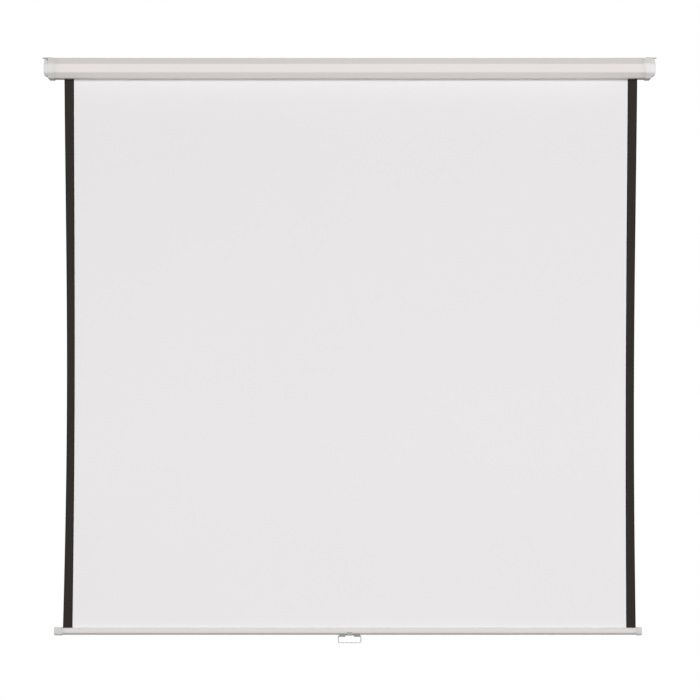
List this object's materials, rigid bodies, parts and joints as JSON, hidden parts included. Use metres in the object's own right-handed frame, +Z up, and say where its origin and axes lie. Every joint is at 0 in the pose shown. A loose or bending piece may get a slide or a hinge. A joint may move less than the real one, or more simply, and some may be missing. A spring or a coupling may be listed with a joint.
{
  "type": "pull down projector screen",
  "caption": "Pull down projector screen: slim wall case with end caps, spring roller, white sheet with black side borders, bottom bar and wire pull.",
  "frame": {"origin": "centre of the case's flat back, on the wall's surface and at the case's mid length and mid height", "axes": "+X right as seen by the viewer along the case, +Y into the wall with the front facing -Y, +Z up"},
  "size_m": [1.928, 0.0643, 1.8378],
  "materials": {
    "case_paint": "satin white powder coat",
    "cap_plastic": "fine grained light grey moulding",
    "zinc_steel": "zinc plated",
    "spring_steel": "oiled spring steel",
    "inner_nylon": "natural nylon",
    "sheet_white": "matt white coated cloth, black backed",
    "border_black": "matt black coating",
    "roller_steel": "galvanised tube",
    "bar_paint": "satin white coat",
    "bright_wire": "bright plated wire"
  },
  "bodies": {
    "case": {"case_shell": "case_paint", "left_end_cap": "cap_plastic", "right_end_cap": "cap_plastic", "left_end_bracket": "zinc_steel", "right_end_bracket": "zinc_steel", "left_cap_screw_1": "zinc_steel", "left_cap_screw_2": "zinc_steel", "right_cap_screw_1": "zinc_steel", "right_cap_screw_2": "zinc_steel", "spear_shaft": "zinc_steel", "notched_collar": "spring_steel", "spring_hub": "inner_nylon", "torsion_spring": "spring_steel", "idle_bush": "inner_nylon", "screen_sheet": "sheet_white", "left_black_border": "border_black", "right_black_border": "border_black"},
    "roller": {"roller_tube": "roller_steel", "spring_end_plug": "inner_nylon", "idle_end_plug": "inner_nylon", "idle_pin": "zinc_steel", "sheet_on_roller": "sheet_white", "pawl_pin_a": "zinc_steel", "pawl_pin_b": "zinc_steel"},
    "upper_pawl": {"pawl_a": "spring_steel"},
    "lower_pawl": {"pawl_b": "spring_steel"},
    "bar": {"bottom_bar": "bar_paint", "left_bar_cap": "cap_plastic", "right_bar_cap": "cap_plastic", "hem_rod": "zinc_steel", "sheet_hem": "sheet_white", "pull_bracket": "zinc_steel", "pull_screw_front": "zinc_steel", "pull_screw_under": "zinc_steel"},
    "pull": {"pull_handle": "bright_wire"}
  },
  "joints": [
    {"name": "bar_travel", "type": "slide", "parent": "case", "child": "bar", "axis": [0, 0, 1], "range_m": [0, 1.7185], "deforming": ["screen_sheet", "left_black_border", "right_black_border"]},
    {"name": "roller_turn", "type": "hinge", "parent": "case", "child": "roller", "pos_m": [0, -0.031, 0.002], "axis": [1, 0, 0], "range_deg": [0, 5041]},
    {"name": "upper_pawl_hinge", "type": "hinge", "parent": "roller", "child": "upper_pawl", "pos_m": [-0.924, -0.031, 0.0145], "axis": [1, 0, 0], "range_deg": [-15, 12]},
    {"name": "lower_pawl_hinge", "type": "hinge", "parent": "roller", "child": "lower_pawl", "pos_m": [-0.924, -0.031, -0.0105], "axis": [1, 0, 0], "range_deg": [-15, 12]},
    {"name": "pull_swing", "type": "hinge", "parent": "bar", "child": "pull", "pos_m": [0, -0.0131, -1.7809], "axis": [1, 0, 0], "range_deg": [-90, 90]}
  ],
  "couplings": [
    {"joint": "roller_turn", "follows": "bar_travel", "rad_per_m": 51.187}
  ]
}
